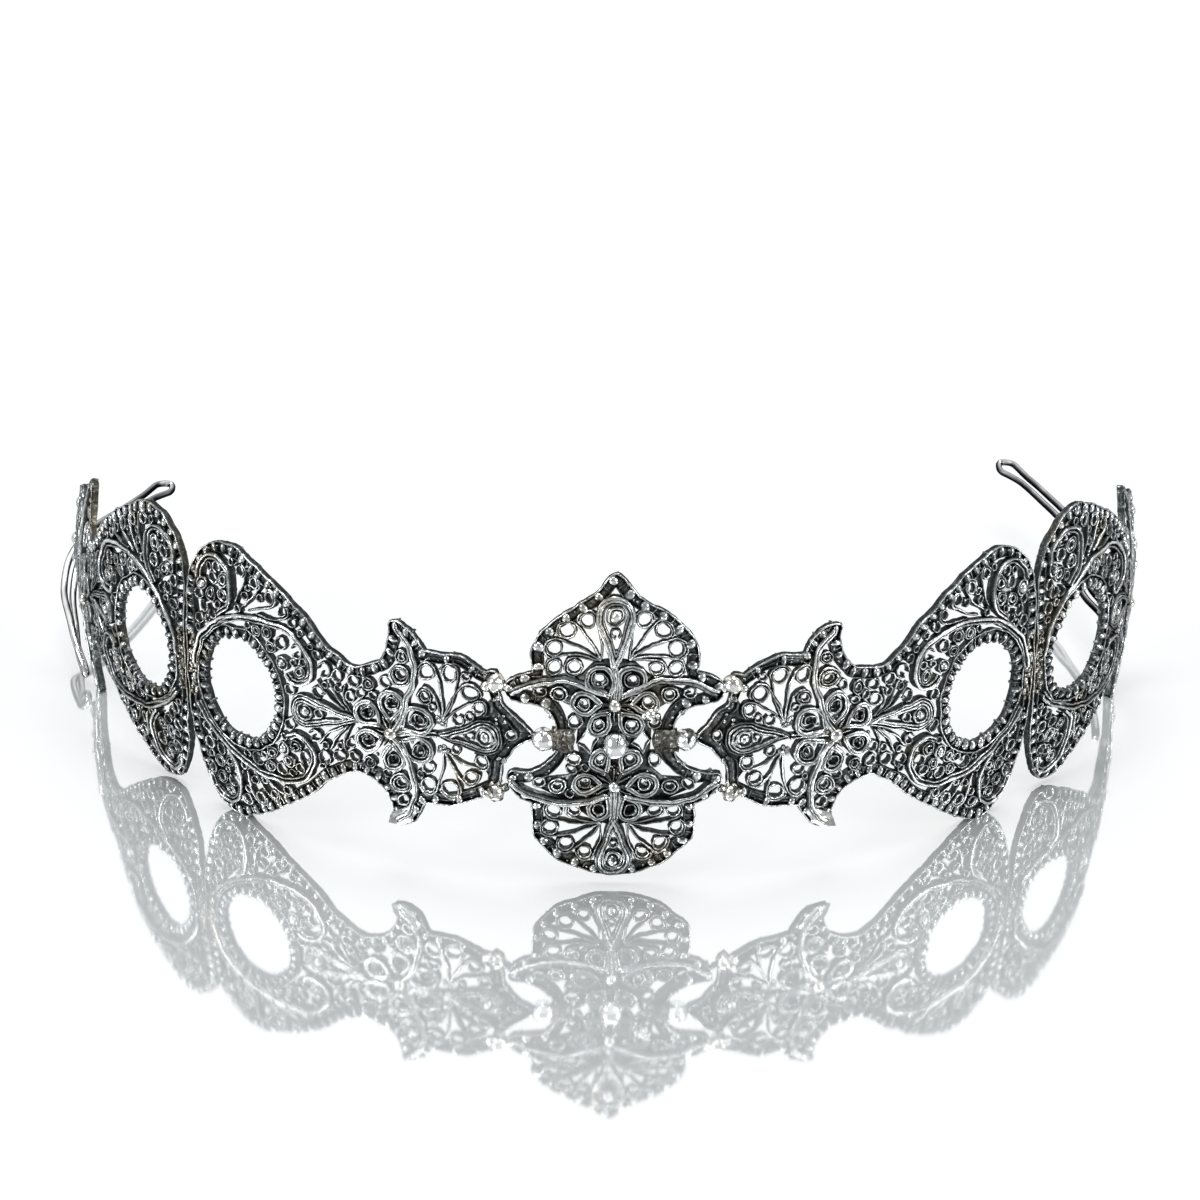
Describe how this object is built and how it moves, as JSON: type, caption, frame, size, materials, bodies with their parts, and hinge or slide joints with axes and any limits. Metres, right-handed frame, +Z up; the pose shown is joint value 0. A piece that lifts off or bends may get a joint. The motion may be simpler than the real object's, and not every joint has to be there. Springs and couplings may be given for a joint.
{
  "type": "tiara",
  "caption": "Openwork silver circlet for the front of the head: a pointed centre panel, horned wing panels with oval eyelets, and a looped wire arm at each end.",
  "frame": {"origin": "on the surface the tiara stands on, under the middle of its box", "axes": "+Z up, the band's front faces -Y, +X to the right seen from the front"},
  "size_m": [0.1538, 0.1072, 0.0399],
  "materials": {
    "oxidised_silver": "blackened silver, bright on the raised edges",
    "silver_wire": "polished drawn silver wire"
  },
  "bodies": {
    "root": {"centre_panel": "oxidised_silver", "inner_panel_right": "oxidised_silver", "inner_panel_left": "oxidised_silver", "outer_panel_right": "oxidised_silver", "outer_panel_left": "oxidised_silver", "end_wire_right": "silver_wire", "end_wire_left": "silver_wire"}
  },
  "joints": []
}
